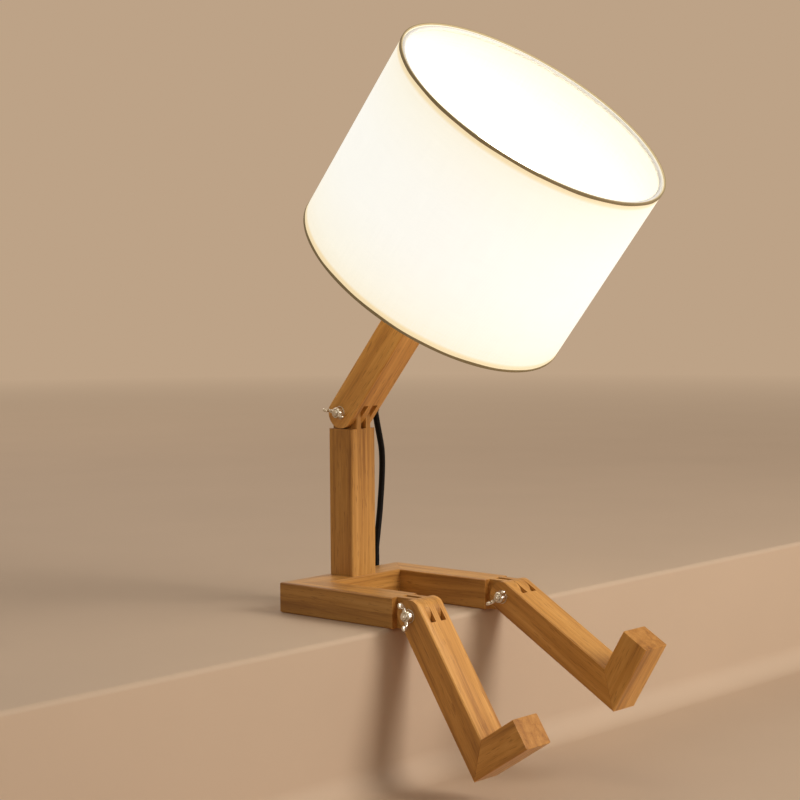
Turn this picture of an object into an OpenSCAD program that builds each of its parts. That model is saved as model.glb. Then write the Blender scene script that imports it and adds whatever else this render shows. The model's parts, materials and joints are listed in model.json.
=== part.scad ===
// Desk lamp in the shape of a seated robot: a wooden U is the seat, a post is the torso, a tilting bar
// is the neck, two swinging bars with mitred feet are the legs, and a drum shade is the head.
// Millimetres. The robot faces -Y and its right hand is at -X. The origin is on the underside of the
// seat, under the middle of the torso. The hinges are box joints of five fingers on a lateral bolt.

/* [Seat] */
// Width of the seat over both arms
seat_w = 132; // [110:1:170]
// Width of each arm, and of each leg
arm_w = 27; // [22:0.5:34]
// Depth of the crossbar, front to back
cross_d = 27; // [24:0.5:34]
// Thickness of the seat's bars
seat_t = 22.5; // [20:0.5:28]
// From the middle of the crossbar forward to the hip axis
hip_reach = 114.5; // [90:0.5:150]

/* [Torso and neck] */
// Width of the torso post and of the neck bar
post_w = 26; // [22:0.5:32]
// Depth of the torso post and of the neck bar
post_t = 24; // [20:0.5:26]
// Height of the neck axis over the seat's underside
neck_z = 147; // [120:1:180]
// From the neck axis to the top of the neck bar
neck_len = 124.5; // [110:0.5:150]
// Forward tilt of the neck from upright, as it is put together here
neck_tilt = 39; // [0:1:60]

/* [Legs] */
// From the hip axis to the underside of the heel
leg_len = 123.5; // [100:0.5:150]
// From the back of the shin to the tip of the toe
foot_len = 55.5; // [40:0.5:75]
// Thickness of the shins and feet
leg_t = 22.5; // [20:0.5:28]
// Right leg's angle under level, as it is put together here
right_leg_tilt = 57; // [0:0.5:90]
// Left leg's angle under level, as it is put together here
left_leg_tilt = 30.5; // [0:0.5:90]

/* [Hinges] */
// Side clearance of each finger in its slot
finger_gap = 0.1; // [0.05:0.05:0.3]
// Clearance between a rounded finger end and the slot's floor
end_gap = 0.4; // [0.3:0.1:1]
// Diameter of the hinge bolts
bolt_d = 5; // [4:0.5:6]
// Radial clearance of a bolt in wood, nut and washer
bolt_gap = 0.05; // [0.02:0.01:0.1]
// Diameter of the bolts' domed heads
head_d = 12; // [10:0.5:14]
// Diameter of the washer under each wing nut
washer_d = 10; // [9:0.5:14]
// Thickness of that washer
washer_t = 0.8; // [0.6:0.1:1.6]
// Span of a wing nut over its wings
wing_span = 21; // [18:0.5:26]
// Height of a wing nut from its seat to its wing tips
wing_h = 9; // [8:0.5:12]
// The arms' slots are cut this much deeper than the legs' round fingers need
arm_slot_extra = 4.5; // [0:0.5:8]
// The neck bar's slots are cut this much deeper than the post's round fingers need
neck_slot_extra = 4; // [0:0.5:6]

/* [Shade] */
// Outer diameter of the shade's fabric
shade_d = 212; // [160:1:240]
// Height of the shade
shade_h = 150; // [120:1:180]
// From the neck axis to the lower edge of the shade
shade_up = 131; // [126:0.5:140]
// Thickness of the lined fabric
shade_wall = 1; // [0.8:0.1:2]
// Diameter of the wire in the shade's frame
wire_d = 3.2; // [2.4:0.1:4]

/* [Lampholder and bulb] */
// Outer diameter of the lampholder
holder_d = 38; // [36:0.5:42]
// Length of the lampholder
holder_len = 48; // [45:0.5:52]
// Diameter of the bulb's globe
bulb_d = 60; // [45:1:70]
// Length of the bulb over the lampholder
bulb_up = 84; // [75:1:92]
// Diameter of the bulb's screw cap
bulb_cap_d = 26.4; // [25:0.1:27]

/* [Wood] */
// Width of the small flat that breaks each long edge
edge_ease = 0.8; // [0.2:0.1:1.5]
// Diameter of the dowels in the mitres
dowel_d = 6; // [4:0.5:6]

/* [Cord] */
// Diameter of the cord
cord_d = 4.8; // [4.2:0.1:5]
// Centre to centre of the coil's turns
coil_pitch = 5.25; // [5.25:0.05:5.6]
// Radius of the coil's outermost turn
coil_r = 45.6; // [44:0.1:47]

/* [Hidden] */
$fn = 64;

wood = [0.80, 0.56, 0.34];
steel = [0.78, 0.78, 0.76];
brass = [0.80, 0.66, 0.36];
black = [0.10, 0.10, 0.10];
cream = [0.96, 0.92, 0.84];
tan_tape = [0.66, 0.52, 0.36];

over = 1;                        // how far a cutter runs past the face it cuts
tiny = 0.02;                     // clearance of pieces that are glued or driven in
seat_y = cross_d / 2;            // back and front of the crossbar
arm_x = seat_w / 2 - arm_w / 2;  // middle of each arm
bolt_r = bolt_d / 2;
hole_r = bolt_r + bolt_gap;

// Wooden bars -----------------------------------------------------------------------------------

// Section of a bar, w wide and t thick, with its four edges eased
module eased_section(w, t) {
    e = edge_ease;
    polygon([
        [-w / 2 + e, -t / 2], [w / 2 - e, -t / 2], [w / 2, -t / 2 + e], [w / 2, t / 2 - e],
        [w / 2 - e, t / 2], [-w / 2 + e, t / 2], [-w / 2, t / 2 - e], [-w / 2, -t / 2 + e]
    ]);
}

// A bar along +Z with a round end about the X axis at the origin
module round_ended_bar(w, t, len) {
    intersection() {
        translate([0, 0, -t]) linear_extrude(len + t) eased_section(w, t);
        union() {
            rotate([0, 90, 0]) cylinder(d = t, h = w + 2 * over, center = true);
            translate([-w / 2 - over, -t / 2 - over, 0]) cube([w + 2 * over, t + 2 * over, len + over]);
        }
    }
}

// The hinge's slots: every other fifth of the width, cut past the round end.
// first is 1 for the moving bar, which keeps three fingers, and 0 for the fixed bar, which keeps two.
module slots(w, t, first, extra) {
    finger = w / 5;
    for (i = [first : 2 : 4]) {
        outer = i == 0 || i == 4;
        low = -w / 2 + i * finger - (i == 0 ? over : finger_gap * (1 - first));
        high = -w / 2 + (i + 1) * finger + (i == 4 ? over : finger_gap * (1 - first));
        translate([low, -t / 2 - over, -t / 2 - over])
            cube([high - low, t + 2 * over, t + end_gap + extra + over]);
    }
}

// The bolt's hole through all fingers of a bar
module hinge_hole(w) {
    rotate([0, 90, 0]) cylinder(r = hole_r, h = w + 2 * over, center = true);
}

// Bar with the two fingers of the fixed side
module fixed_bar(w, t, len, extra = 0) {
    difference() {
        round_ended_bar(w, t, len);
        slots(w, t, 0, extra);
        hinge_hole(w);
    }
}

// Bar with the three fingers of the moving side, square-holed for the bolt's neck at +X
module moving_bar(w, t, len, extra = 0) {
    difference() {
        round_ended_bar(w, t, len);
        slots(w, t, 1, extra);
        hinge_hole(w);
        translate([w / 2 - neck_sq_len - bolt_gap, -hole_r, -hole_r])
            cube([neck_sq_len + bolt_gap + over, 2 * hole_r, 2 * hole_r]);
    }
}

// Mitres ----------------------------------------------------------------------------------------

dowel_half = 9;                     // half of a dowel's length
dowel_places = [18.5, 28];          // along the seat's mitre, from its outer corner
foot_dowel_x = 6.5;                 // the foot's two dowels lie this far off its middle
foot_dowel_place = 20;              // along the foot's mitre, from the heel

// Prism over everything behind the seat's right mitre, taken off the right arm
module right_mitre_cutter() {
    translate([0, 0, -over]) linear_extrude(seat_t + 2 * over) polygon([
        [-seat_w / 2 - over, seat_y + over], [-seat_w / 2 + arm_w + over, seat_y - arm_w - over],
        [-seat_w / 2 + arm_w + 2 * over, seat_y + 2 * over]
    ]);
}

// One dowel of the seat's right mitre, square to the mitre's face
module mitre_dowel(place, r, half) {
    translate([-seat_w / 2 + place / sqrt(2), seat_y - place / sqrt(2), seat_t / 2])
        rotate([0, 90, -135]) cylinder(r = r, h = 2 * half, center = true);
}

module both_sides() {
    children();
    mirror([1, 0, 0]) children();
}

module seat_dowel_holes() {
    both_sides() for (p = dowel_places) mitre_dowel(p, dowel_d / 2 + tiny, dowel_half + tiny);
}

// Seat and torso --------------------------------------------------------------------------------

screw_x = 7;        // the post's screws lie this far off the middle
screw_d = 4;
screw_head_d = 8;
screw_head_h = 2.4;
screw_len = 42;

module crossbar() {
    color(wood) difference() {
        intersection() {
            linear_extrude(seat_t) polygon([
                [-seat_w / 2, seat_y], [-seat_w / 2 + cross_d, -seat_y],
                [seat_w / 2 - cross_d, -seat_y], [seat_w / 2, seat_y]
            ]);
            translate([-seat_w / 2, 0, seat_t / 2]) rotate([90, 0, 90])
                linear_extrude(seat_w) eased_section(cross_d, seat_t);
        }
        seat_dowel_holes();
        both_sides() screw(tiny);
    }
}

module right_arm() {
    color(wood) difference() {
        translate([-arm_x, -hip_reach, seat_t / 2]) rotate([-90, 0, 0])
            fixed_bar(arm_w, seat_t, hip_reach + seat_y, arm_slot_extra);
        right_mitre_cutter();
        seat_dowel_holes();
    }
}

module left_arm() {
    mirror([1, 0, 0]) right_arm();
}

module torso_post() {
    color(wood) difference() {
        translate([0, 0, neck_z]) rotate([180, 0, 0]) fixed_bar(post_w, post_t, neck_z - seat_t);
        both_sides() screw(tiny);
    }
}

module mitre_dowels() {
    color(wood) both_sides() for (p = dowel_places) mitre_dowel(p, dowel_d / 2, dowel_half);
}

// Countersunk wood screw up through the crossbar into the end of the post, grown by gap
module screw(gap) {
    translate([screw_x, 0, 0]) {
        translate([0, 0, 0.3]) cylinder(
            d1 = screw_head_d + 2 * gap, d2 = screw_d + 2 * gap, h = screw_head_h);
        translate([0, 0, 0.3 + screw_head_h - tiny]) cylinder(
            d = screw_d + 2 * gap, h = screw_len - screw_head_h - 2 + tiny + gap);
        translate([0, 0, 0.3 + screw_len - 2 - tiny + gap]) cylinder(
            d1 = screw_d + 2 * gap, d2 = 0.6, h = 2);
        if (gap > 0) translate([0, 0, -over]) cylinder(d = screw_head_d + 2 * gap, h = over + 0.3);
    }
}

module post_screws() {
    color(steel) both_sides() difference() {
        screw(0);
        for (turn = [0, 90]) translate([screw_x, 0, 0]) rotate([0, 0, turn])
            translate([-2.2, -0.4, 0]) cube([4.4, 0.8, 1.5]);
    }
}

// Hinge hardware, about the X axis, with the wing nut at -X ---------------------------------------

head_h = 2.8;
neck_sq_len = 3;      // length of the square under a bolt's head
bolt_past = 7;        // how far a bolt runs past its washer
hub_r = 4.6;          // foot of a wing nut
hub_top_r = 3.7;
hub_h = 5;
wing_t = 2;
neck_nut_angle = 14;      // how far each wing nut is turned
right_nut_angle = 77.5;
left_nut_angle = -35;

module coach_bolt(w) {
    color(steel) rotate([0, 90, 0]) {
        translate([0, 0, w / 2]) intersection() {
            cylinder(d = head_d, h = head_h);
            translate([0, 0, head_h - head_d * 0.9]) sphere(r = head_d * 0.9, $fn = 64);
        }
        translate([-bolt_r, -bolt_r, w / 2 - neck_sq_len]) cube([bolt_d, bolt_d, neck_sq_len]);
        translate([0, 0, -w / 2 - washer_t - bolt_past])
            cylinder(r = bolt_r, h = w + washer_t + bolt_past - neck_sq_len / 2);
    }
}

module washer(w) {
    color(steel) translate([-w / 2 - washer_t, 0, 0]) rotate([0, 90, 0]) difference() {
        cylinder(d = washer_d, h = washer_t);
        translate([0, 0, -over]) cylinder(r = hole_r, h = washer_t + 2 * over);
    }
}

// One wing's outline, outwards along +X and up along +Y: a leaf on a sloping stalk
module wing_outline() {
    tip = wing_h * 0.25;
    end = wing_span / 2 - tip;
    polygon([
        [0, 0.8], [hub_r, 0.8], [end, wing_h - 2 * tip], [end, wing_h - tip / 2],
        [hub_top_r, hub_h - 0.4], [0, hub_h - 0.4]
    ]);
    translate([end, wing_h - tip]) circle(r = tip);
}

// turn is the wings' angle from +Y towards +Z
module wing_nut(w, turn) {
    color(steel) rotate([turn, 0, 0]) translate([-w / 2 - washer_t, 0, 0]) rotate([0, -90, 0])
        difference() {
            union() {
                cylinder(r1 = hub_r, r2 = hub_top_r, h = hub_h);
                for (side = [90, -90]) rotate([90, 0, side])
                    translate([0, 0, -wing_t / 2]) linear_extrude(wing_t) wing_outline();
            }
            translate([0, 0, -over]) cylinder(r = hole_r, h = wing_h + 2 * over);
        }
}

// Neck, in its own frame: +Z along the bar from the hinge axis, +Y to its back -----------------------

module neck_frame() {
    translate([0, 0, neck_z]) rotate([neck_tilt, 0, 0]) children();
}

bore_r = 4;            // lead's bore in the neck bar
exit_up = 20;          // the lead leaves the bar's left side this far over the hinge axis
exit_lean = 35;        // angle of the slanted hole off the bar's length
corner_up = exit_up + post_w / 2 / tan(exit_lean);  // where the slanted hole meets the bore
nipple_r = 5;
nipple_in = 18;        // depth of the nipple in the bar
exit_dir = [sin(exit_lean), 0, -cos(exit_lean)];
exit_at = [post_w / 2, 0, exit_up];
gland_len = 24;
gland_in = 7;

// Frame of the slanted hole: +Z outwards along it, from the bar's left face
module exit_frame() {
    translate(exit_at) rotate([0, 180 - exit_lean, 0]) children();
}

module neck_bar() {
    color(wood) neck_frame() difference() {
        moving_bar(post_w, post_t, neck_len, neck_slot_extra);
        translate([0, 0, corner_up - bore_r / 2]) cylinder(r = bore_r, h = neck_len);
        translate([0, 0, neck_len - nipple_in - tiny])
            cylinder(r = nipple_r + tiny, h = nipple_in + over);
        exit_frame() translate([0, 0, -(post_w / 2) / sin(exit_lean)])
            cylinder(r = bore_r, h = (post_w / 2) / sin(exit_lean) + 3 * over + bore_r);
    }
}

module neck_bolt() {
    neck_frame() coach_bolt(post_w);
}

module neck_washer() {
    neck_frame() washer(post_w);
}

module neck_wing_nut() {
    translate([0, 0, neck_z]) wing_nut(post_w, neck_nut_angle);
}

// Strain relief: a barrel in the hole and a ribbed taper outside it
module cord_gland() {
    ribs = 5;
    rib_step = gland_len / (ribs + 1);
    color(black) neck_frame() exit_frame() difference() {
        union() {
            translate([0, 0, -gland_in]) cylinder(r = bore_r - 0.3, h = gland_in);
            cylinder(r1 = bore_r - 0.3, r2 = cord_d / 2 + 0.5, h = gland_len);
        }
        for (i = [1 : ribs]) translate([0, 0, i * rib_step]) difference() {
            cylinder(r = bore_r + over, h = rib_step * 0.35);
            translate([0, 0, -over]) cylinder(r = cord_d / 2 + 0.2, h = rib_step + 2 * over);
        }
        // the lead runs in from inside the bar
        translate([0, 0, -gland_in - over]) cylinder(r = cord_d / 2 + 0.1, h = over + tiny);
    }
}

// Lampholder: cap, shell, core and contact on a nipple in the bar ------------------------------------

hold_z = neck_len;                       // foot of the lampholder
cap_h = 16;                              // height of its cap
cap_wall = 2;
shell_wall = 2.6;
flange_z = hold_z + 22;                  // top of the flange that carries the shade
flange_r = holder_d / 2 + 3;
core_h = 7;
bulb_z = hold_z + cap_h + core_h + 1.5;  // foot of the bulb's cap
hold_top = hold_z + holder_len;
knob_z = hold_z + 9;
stem_r = 2;

module holder_nipple() {
    color(steel) neck_frame() translate([0, 0, neck_len - nipple_in]) difference() {
        cylinder(r = nipple_r, h = nipple_in + 7);
        translate([0, 0, -over]) cylinder(r = nipple_r - 1.2, h = nipple_in + 7 + 2 * over);
    }
}

module holder_cap() {
    r = holder_d / 2;
    color(black) neck_frame() translate([0, 0, hold_z]) difference() {
        rotate_extrude() polygon([
            [nipple_r + tiny, 0], [r - 5, 0], [r - 2, 2], [r, 7], [r, cap_h],
            [r - cap_wall, cap_h], [r - cap_wall, 7], [r - 4.5, 3], [nipple_r + tiny, 3]
        ]);
        translate([0, 0, knob_z - hold_z]) rotate([0, -90, 0])
            cylinder(r = stem_r + bolt_gap, h = holder_d);
    }
}

module holder_shell() {
    r = holder_d / 2;
    color(black) neck_frame() rotate_extrude() polygon([
        [r - shell_wall, hold_z + cap_h], [r, hold_z + cap_h], [r, flange_z - 2.5],
        [flange_r, flange_z - 2.5], [flange_r, flange_z], [r, flange_z], [r, hold_top - 1],
        [r - 1, hold_top], [r - shell_wall, hold_top]
    ]);
}

module holder_core() {
    r = holder_d / 2 - shell_wall - 0.1;
    color("white") neck_frame() translate([0, 0, hold_z + cap_h]) difference() {
        cylinder(r = r, h = core_h);
        for (side = [-1, 1]) translate([side * 8, 0, -over]) cylinder(r = 2, h = 4);
        translate([0, 0, core_h - 1]) cylinder(r = 6, h = 2);
    }
}

// Sprung tongue that meets the bulb's foot
module holder_contact() {
    low = hold_z + cap_h + core_h - 1;
    color(brass) neck_frame() {
        translate([0, 0, low]) cylinder(r = 5, h = 0.8);
        translate([0, 0, low + 0.8]) cylinder(r1 = 3, r2 = 2, h = bulb_z - low - 0.8 - tiny);
    }
}

// Turn key of the switch, on a stem through the lampholder's cap
module switch_knob() {
    color(black) neck_frame() translate([0, 0, knob_z]) rotate([0, -90, 0]) {
        translate([0, 0, holder_d / 2 - 8]) cylinder(r = stem_r, h = 10);
        translate([0, 0, holder_d / 2 + 0.5]) cylinder(r1 = 4.2, r2 = 3.4, h = 4);
        translate([-5.5, -1.6, holder_d / 2 + 4]) cube([11, 3.2, 8]);
        for (side = [-1, 1]) translate([side * 5.5, 1.6, holder_d / 2 + 8]) rotate([90, 0, 0])
            cylinder(r = 2.4, h = 3.2);
    }
}

// Shade ----------------------------------------------------------------------------------------------

shade_r = shade_d / 2;
shade_top = shade_up + shade_h;
frame_r = shade_r - shade_wall - wire_d / 2 - 0.1;  // middle of the frame's wire rings
rim_in = 0.5;            // the fabric stops this far inside the shade's two edges
tape_t = 0.35;
tape_h = 2.2;
ring_t = 1.6;            // thickness of the spider's middle ring
spokes = 3;

module wire_ring(z) {
    translate([0, 0, z]) rotate_extrude() translate([frame_r, 0]) circle(d = wire_d, $fn = 24);
}

ring_low = shade_up + wire_d / 2 + 1;     // height of the lower wire ring
fitter_r = flange_r + 2.5;

module bottom_ring() {
    color("white") neck_frame() wire_ring(ring_low);
}

// Flat ring that sits on the lampholder's flange
module fitter_ring() {
    color("white") neck_frame() translate([0, 0, flange_z]) difference() {
        cylinder(r = fitter_r, h = ring_t);
        translate([0, 0, -over]) cylinder(r = holder_d / 2 + 0.4, h = ring_t + 2 * over);
    }
}

// Straight spokes between the two rings
module shade_spider() {
    high = flange_z + ring_t / 2;
    run = frame_r - flange_r;
    color("white") neck_frame() difference() {
        for (i = [0 : spokes - 1]) rotate([0, 0, 90 + i * 360 / spokes])
            translate([frame_r, 0, ring_low]) rotate([0, -atan2(run, high - ring_low), 0])
                cylinder(d = wire_d - 0.4, h = norm([run, high - ring_low]), $fn = 24);
        wire_ring(ring_low);
        translate([0, 0, flange_z - 3 * ring_t]) cylinder(r = fitter_r - 0.05, h = 7 * ring_t);
    }
}

module shade_ring_nut() {
    nut_h = 7;
    color(black) neck_frame() translate([0, 0, flange_z + ring_t]) difference() {
        union() {
            cylinder(r = flange_r + 1, h = 2);
            cylinder(r1 = flange_r, r2 = flange_r - 0.8, h = nut_h);
        }
        translate([0, 0, -over]) cylinder(r = holder_d / 2 + 0.05, h = nut_h + 2 * over);
        for (i = [0 : 11]) rotate([0, 0, i * 30]) translate([flange_r + 0.4, 0, 2.5])
            cylinder(r = 1, h = nut_h);
    }
}

module shade_fabric() {
    color(cream) neck_frame() translate([0, 0, shade_up + rim_in]) difference() {
        cylinder(r = shade_r, h = shade_h - 2 * rim_in, $fn = 128);
        translate([0, 0, -over]) cylinder(r = shade_r - shade_wall, h = shade_h + over, $fn = 128);
    }
}

module top_ring() {
    color("white") neck_frame() wire_ring(shade_top - wire_d / 2 - 1);
}

// Tape folded over an edge of the fabric; it faces down along Z
module edge_tape() {
    out = shade_r + tape_t;
    in = shade_r - shade_wall - tape_t * 0.25;
    slack = 0.04;
    rotate_extrude($fn = 128) polygon([
        [shade_r + slack, -tape_h], [out, -tape_h], [out, -0.4], [out - 0.3, 0], [in + 0.1, 0],
        [in, -0.1], [in, -rim_in - 0.4], [shade_r - shade_wall - slack, -rim_in - 0.4],
        [shade_r - shade_wall - slack, -rim_in + slack], [shade_r + slack, -rim_in + slack]
    ]);
}

module top_trim() {
    color(tan_tape) neck_frame() translate([0, 0, shade_top]) edge_tape();
}

module bottom_trim() {
    color(tan_tape) neck_frame() translate([0, 0, shade_up]) mirror([0, 0, 1]) edge_tape();
}

// Bulb -----------------------------------------------------------------------------------------------

cap_r = bulb_cap_d / 2;
bulb_cap_len = 26;
globe_r = bulb_d / 2;
globe_z = hold_top + bulb_up - globe_r;   // middle of the globe
glass_t = 1.2;
stem_bulb_r = cap_r - 0.6;                // the glass's narrow end
fillet_r = 22;                            // hollow curve between the narrow end and the globe

// Half outline of the bulb's glass, drawn in by inset; round stretches are sampled from their arcs
function glass_outline(inset) =
    let (
        r = globe_r - inset,
        f = fillet_r + inset,
        reach = stem_bulb_r + fillet_r,
        drop = sqrt(pow(globe_r + fillet_r, 2) - reach * reach),
        meet = atan2(drop, reach),
        foot = bulb_z + bulb_cap_len
    )
    concat(
        [[0, foot + inset]],
        [[stem_bulb_r - inset, foot + inset], [stem_bulb_r - inset, globe_z - drop]],
        [for (k = [1 : 6]) let (a = 180 - meet * k / 6)
            [reach + f * cos(a), globe_z - drop + f * sin(a)]],
        [for (k = [1 : 18]) let (a = -meet + (90 + meet) * k / 18)
            [k == 18 ? 0 : r * cos(a), globe_z + r * sin(a)]]
    );

module bulb_globe() {
    color("white") neck_frame() difference() {
        rotate_extrude() polygon(glass_outline(0));
        rotate_extrude() polygon(glass_outline(glass_t));
    }
}

// Screw cap with rolled ridges and its foot
module bulb_cap() {
    ridges = 5;
    step = 3.4;
    low = bulb_z + 4;
    color(steel) neck_frame() union() {
        rotate_extrude() polygon(concat(
            [[0, bulb_z], [3.5, bulb_z], [5, bulb_z + 1.2], [cap_r - 2, low]],
            [for (i = [0 : ridges - 1], s = [[-0.9, 0], [0, 0.35], [0, 0.65]])
                [cap_r + s[0], low + (i + s[1]) * step]],
            [[cap_r - 0.9, low + ridges * step], [cap_r - 0.9, bulb_z + bulb_cap_len - tiny],
             [0, bulb_z + bulb_cap_len - tiny]]
        ));
    }
}

// Legs, each in its own frame: +Z from the hip axis to the heel, +Y to the toe ------------------------

module leg_frame(side, drop) {
    translate([side * arm_x, -hip_reach, seat_t / 2]) rotate([90 + drop, 0, 0]) children();
}

module foot_dowel(x, r, half) {
    translate([x, -leg_t / 2 + foot_dowel_place / sqrt(2), leg_len - foot_dowel_place / sqrt(2)])
        rotate([-45, 0, 0]) cylinder(r = r, h = 2 * half, center = true);
}

module foot_dowel_pair(r, half) {
    for (x = [-foot_dowel_x, foot_dowel_x]) foot_dowel(x, r, half);
}

module shin() {
    color(wood) difference() {
        moving_bar(arm_w, leg_t, leg_len);
        rotate([90, 0, 90]) linear_extrude(arm_w + 2 * over, center = true) polygon([
            [-leg_t / 2 - over, leg_len + over], [leg_t / 2 + over, leg_len - leg_t - over],
            [leg_t / 2 + over, leg_len + over]
        ]);
        foot_dowel_pair(dowel_d / 2 + tiny, dowel_half + tiny);
    }
}

module foot() {
    color(wood) difference() {
        translate([0, -leg_t / 2, leg_len - leg_t / 2]) rotate([-90, 0, 0])
            linear_extrude(foot_len) eased_section(arm_w, leg_t);
        rotate([90, 0, 90]) linear_extrude(arm_w + 2 * over, center = true) polygon([
            [-leg_t / 2 - over, leg_len + over], [-leg_t / 2 - over, leg_len - leg_t - over],
            [leg_t / 2 + over, leg_len - leg_t - over]
        ]);
        foot_dowel_pair(dowel_d / 2 + tiny, dowel_half + tiny);
    }
}

module foot_dowels() {
    color(wood) foot_dowel_pair(dowel_d / 2, dowel_half);
}

module right_shin() { leg_frame(-1, right_leg_tilt) shin(); }
module right_foot() { leg_frame(-1, right_leg_tilt) foot(); }
module right_foot_dowels() { leg_frame(-1, right_leg_tilt) foot_dowels(); }
module right_hip_bolt() { leg_frame(-1, right_leg_tilt) coach_bolt(arm_w); }
module right_hip_washer() { leg_frame(-1, right_leg_tilt) washer(arm_w); }
module right_wing_nut() { leg_frame(-1, -90) wing_nut(arm_w, right_nut_angle); }

module left_shin() { leg_frame(1, left_leg_tilt) shin(); }
module left_foot() { leg_frame(1, left_leg_tilt) foot(); }
module left_foot_dowels() { leg_frame(1, left_leg_tilt) foot_dowels(); }
module left_hip_bolt() { leg_frame(1, left_leg_tilt) coach_bolt(arm_w); }
module left_hip_washer() { leg_frame(1, left_leg_tilt) washer(arm_w); }
module left_wing_nut() { leg_frame(1, -90) wing_nut(arm_w, left_nut_angle); }

// Cord -----------------------------------------------------------------------------------------------

// A neck-frame point or direction in the lamp's frame
function turned(v) = [
    v[0], v[1] * cos(neck_tilt) - v[2] * sin(neck_tilt), v[1] * sin(neck_tilt) + v[2] * cos(neck_tilt)
];
function from_neck(p) = turned(p) + [0, 0, neck_z];

cord_r = cord_d / 2;
lies = cord_r;                       // height of a cord's middle where it lies on the surface
gland_end = from_neck(exit_at + gland_len * exit_dir);

coil_at = [104, 47];
coil_start = 130;                    // the coil's outer end, as an angle about its middle
coil_turns = 5.2;
coil_rings = 24;                     // rings in a turn
coil_sides = 6;

// The coil's line after t turns, clockwise and inwards at a steady rate
function coil_point(t) =
    let (a = coil_start - 360 * t, r = coil_r - coil_pitch * t)
    [coil_at[0] + r * cos(a), coil_at[1] + r * sin(a), lies];
coil_count = round(coil_turns * coil_rings);
coil_line = [for (i = [0 : coil_count]) coil_point(i / coil_rings)];

// Down from the gland, behind the seat, round a loop to the coil
drop_route = [
    gland_end, gland_end + 5 * turned(exit_dir),
    [33, 3.5, 135], [37.5, 5.5, 126], [42, 7.5, 116], [45.5, 10, 106], [47.5, 12, 96],
    [48.5, 13.5, 86], [48.5, 14.5, 76], [48.5, 15.5, 66], [47.5, 16, 56], [46.5, 16.5, 46],
    [45.5, 17, 36], [45.5, 17, 25], [43.5, 17, 14], [38.5, 17, 7], [31, 17.5, 3.2],
    [22, 18, lies], [12, 18.5, lies], [2, 19, lies], [-8, 21.7, lies], [-15.3, 29, lies],
    [-18, 39, lies], [-15.3, 49, lies], [-8, 56.3, lies], [2, 59, lies], [14, 60, lies],
    [26, 61.5, lies], [38, 64.5, lies], [50, 69, lies], [62, 75, lies], coil_point(0)
];

plug_y = 38;
plug_z = 6.75;                       // height of the plug's middle
plug_face_x = 8;                     // where its blades come out
plug_len = 26;
relief_len = 20;
over_turns = 3 * cord_r + 0.5;       // middle of the cord where it lies on the coil's turns

// From the coil's inner end up over its turns and out to the plug
tail_route = [
    coil_line[coil_count], coil_point((coil_count + 0.4) / coil_rings), [118.7, 57.3, lies + 0.3], [121.9, 48.6, lies + 1.3],
    [120.2, 39.5, lies + 2.7], [114.5, 32.4, lies + 4.2], [106.5, 28.8, over_turns],
    [97.5, 28.2, over_turns], [88, 29.8, over_turns], [78, 32.5, over_turns],
    [69, 35.3, over_turns - 0.2], [61, 37.3, 7.1],
    [plug_face_x + plug_len + relief_len, plug_y, plug_z]
];

function unit(v) = v / norm(v);
function tangents(line) = [for (i = [0 : len(line) - 1])
    unit(line[min(i + 1, len(line) - 1)] - line[max(i - 1, 0)])];
function across(n, t) = unit(n - (n * t) * t);

// Side directions carried along the line without twist
function carried(t) = [for (i = 0, n = across([0.31, -0.9, 0.3], t[0]); i < len(t);
    i = i + 1, n = across(n, t[min(i, len(t) - 1)])) n];

// Closed tube of radius r along a line, with the given number of sides
module tube(line, r, sides) {
    t = tangents(line);
    n = carried(t);
    last = len(line) - 1;
    points = [for (i = [0 : last], k = [0 : sides - 1])
        let (a = 360 * k / sides) line[i] + r * (cos(a) * n[i] + sin(a) * cross(t[i], n[i]))];
    walls = [for (i = [0 : last - 1], k = [0 : sides - 1], half = [0, 1])
        let (a = i * sides + k, b = i * sides + (k + 1) % sides)
        half == 0 ? [a, a + sides, b] : [b, a + sides, b + sides]];
    ends = [for (k = [1 : sides - 2], half = [0, 1])
        half == 0 ? [0, k, k + 1] : [last * sides, last * sides + k + 1, last * sides + k]];
    polyhedron(points, concat(walls, ends));
}

// Least gap between a coil's turns, measured from ring to ring, a third of a turn or more apart
function coil_gap() = min([for (i = [0 : coil_count], j = [i + 8 : 1 : coil_count])
    norm(coil_line[i] - coil_line[j])]) - cord_d;
function line_len(line) = let (d = [for (i = [1 : len(line) - 1]) norm(line[i] - line[i - 1])])
    d * [for (i = d) 1];

module cord_drop() { color(black) tube(drop_route, cord_r, 8); }
module cord_coil() { color(black) tube(coil_line, cord_r, coil_sides); }
module cord_tail() { color(black) tube(tail_route, cord_r, 8); }

// Lead inside the neck bar, from the lampholder down to the gland's barrel
module inner_lead() {
    bend = 6;
    color(black) neck_frame() tube([
        [0, 0, hold_z + 4], [0, 0, corner_up + 3 * bend], [0, 0, corner_up + bend],
        [0.55, 0, corner_up + 1.5], [1.6, 0, corner_up - 2.8],
        exit_at - (gland_in + 5) * exit_dir, exit_at - (gland_in + tiny) * exit_dir
    ], cord_r, 8);
}

// Plug, in its own frame: +Z along the blades, from the face they come out of -------------------------

module plug_frame() {
    translate([plug_face_x, plug_y, plug_z]) rotate([0, -90, 0]) children();
}

plug_w = 21;
plug_t = 2 * plug_z;

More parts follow.
